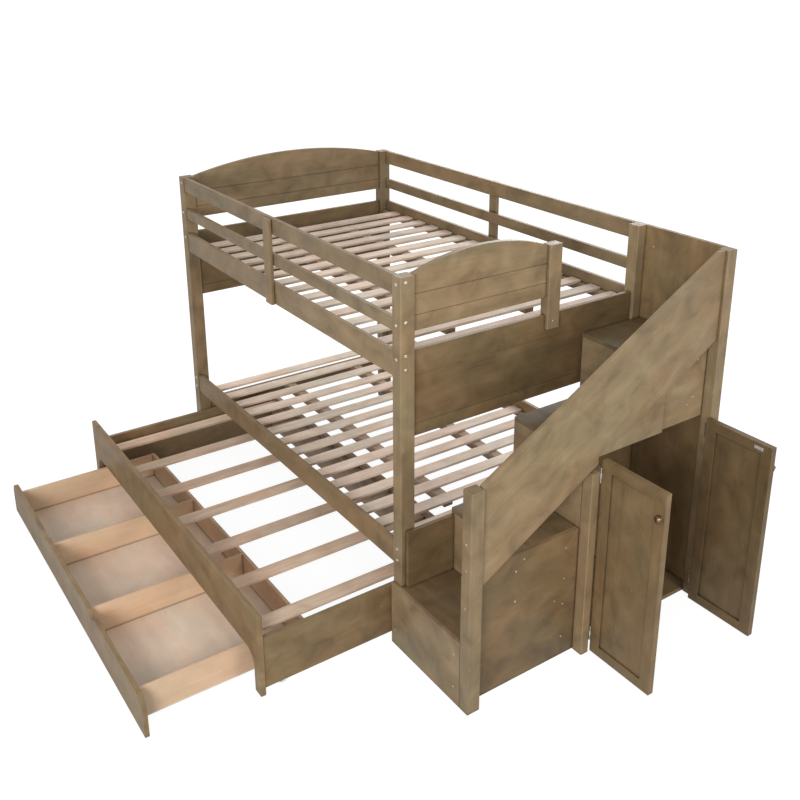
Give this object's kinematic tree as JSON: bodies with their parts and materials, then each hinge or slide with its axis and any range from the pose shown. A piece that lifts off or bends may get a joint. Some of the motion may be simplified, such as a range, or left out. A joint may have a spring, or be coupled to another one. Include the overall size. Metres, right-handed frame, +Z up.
{
  "type": "bunk bed with storage stairs",
  "caption": "Wooden bunk bed with guard rails, arched end boards, a storage staircase with a double-door cabinet, and a pull-out trundle with its own drawer.",
  "frame": {"origin": "middle of the footprint on the floor, with the trundle, its drawer and both doors open as in the picture", "axes": "+X from the head end to the stairs, +Y from the trundle side to the wall side, +Z up"},
  "size_m": [2.8006, 2.321, 1.6379],
  "materials": {
    "stained_wood": "matt weathered grey-brown stain",
    "slat_wood": "pale washed softwood",
    "drawer_wood": "pale sealed board",
    "bright_steel": "satin",
    "knob_metal": "dark satin",
    "clear_plastic": "translucent white"
  },
  "bodies": {
    "bed_and_stairs": {"front_posts": "stained_wood", "rear_posts": "stained_wood", "front_guard_rails": "stained_wood", "front_side_rail": "stained_wood", "rear_guard_rails": "stained_wood", "rear_side_rail": "stained_wood", "lower_side_rails": "stained_wood", "guard_stiles": "stained_wood", "headboard": "stained_wood", "footboard": "stained_wood", "upper_end_rails": "stained_wood", "end_panels": "stained_wood", "lower_end_rails": "stained_wood", "entrance_post": "stained_wood", "upper_slats": "slat_wood", "lower_slats": "slat_wood", "ledgers": "slat_wood", "centre_beams": "slat_wood", "newel_post": "stained_wood", "mid_post": "stained_wood", "tall_post": "stained_wood", "stair_guard": "stained_wood", "lower_side_panel": "stained_wood", "lower_inner_side": "stained_wood", "riser_1": "stained_wood", "tread_1": "stained_wood", "riser_2": "stained_wood", "tread_2": "stained_wood", "riser_3": "stained_wood", "tread_3": "stained_wood", "riser_4": "stained_wood", "landing": "stained_wood", "landing_side": "stained_wood", "upper_inner_side": "stained_wood", "cabinet_floor": "stained_wood", "back_panel": "stained_wood", "cabinet_hardware": "bright_steel", "bolts": "bright_steel", "screws": "bright_steel"},
    "door_a": {"door_a_frame": "stained_wood", "door_a_panel": "stained_wood", "door_a_knob": "knob_metal", "door_a_hinges": "bright_steel"},
    "door_b": {"door_b_frame": "stained_wood", "door_b_panel": "stained_wood", "door_b_knob": "knob_metal", "door_b_hinges": "bright_steel"},
    "trundle": {"trundle_fascia": "stained_wood", "trundle_ends": "stained_wood", "trundle_rails": "slat_wood", "trundle_slats": "slat_wood", "caster_brackets": "bright_steel"},
    "trundle_drawer": {"drawer_front": "stained_wood", "drawer_box": "drawer_wood", "drawer_bottom": "drawer_wood", "drawer_glides": "clear_plastic"},
    "wheel_1": {"caster_wheel_1": "clear_plastic"},
    "wheel_2": {"caster_wheel_2": "clear_plastic"},
    "wheel_3": {"caster_wheel_3": "clear_plastic"},
    "wheel_4": {"caster_wheel_4": "clear_plastic"}
  },
  "joints": [
    {"name": "trundle_slide", "type": "slide", "parent": "bed_and_stairs", "child": "trundle", "axis": [0, 1, 0], "range_m": [0, 0.599]},
    {"name": "drawer_slide", "type": "slide", "parent": "trundle", "child": "trundle_drawer", "axis": [0, 1, 0], "range_m": [0, 0.433]},
    {"name": "door_a_hinge", "type": "hinge", "parent": "bed_and_stairs", "child": "door_a", "pos_m": [1.0913, 0.473, 0.437], "axis": [0, 0, 1], "range_deg": [-15, 90]},
    {"name": "door_b_hinge", "type": "hinge", "parent": "bed_and_stairs", "child": "door_b", "pos_m": [1.0913, 1.094, 0.437], "axis": [0, 0, 1], "range_deg": [-90, 15]},
    {"name": "wheel_1_spin", "type": "hinge", "parent": "trundle", "child": "wheel_1", "pos_m": [-1.2997, -0.6185, 0.025], "axis": [1, 0, 0], "continuous": true},
    {"name": "wheel_2_spin", "type": "hinge", "parent": "trundle", "child": "wheel_2", "pos_m": [-1.2997, 0.2215, 0.025], "axis": [1, 0, 0], "continuous": true},
    {"name": "wheel_3_spin", "type": "hinge", "parent": "trundle", "child": "wheel_3", "pos_m": [0.5423, -0.6185, 0.025], "axis": [1, 0, 0], "continuous": true},
    {"name": "wheel_4_spin", "type": "hinge", "parent": "trundle", "child": "wheel_4", "pos_m": [0.5423, 0.2215, 0.025], "axis": [1, 0, 0], "continuous": true}
  ]
}
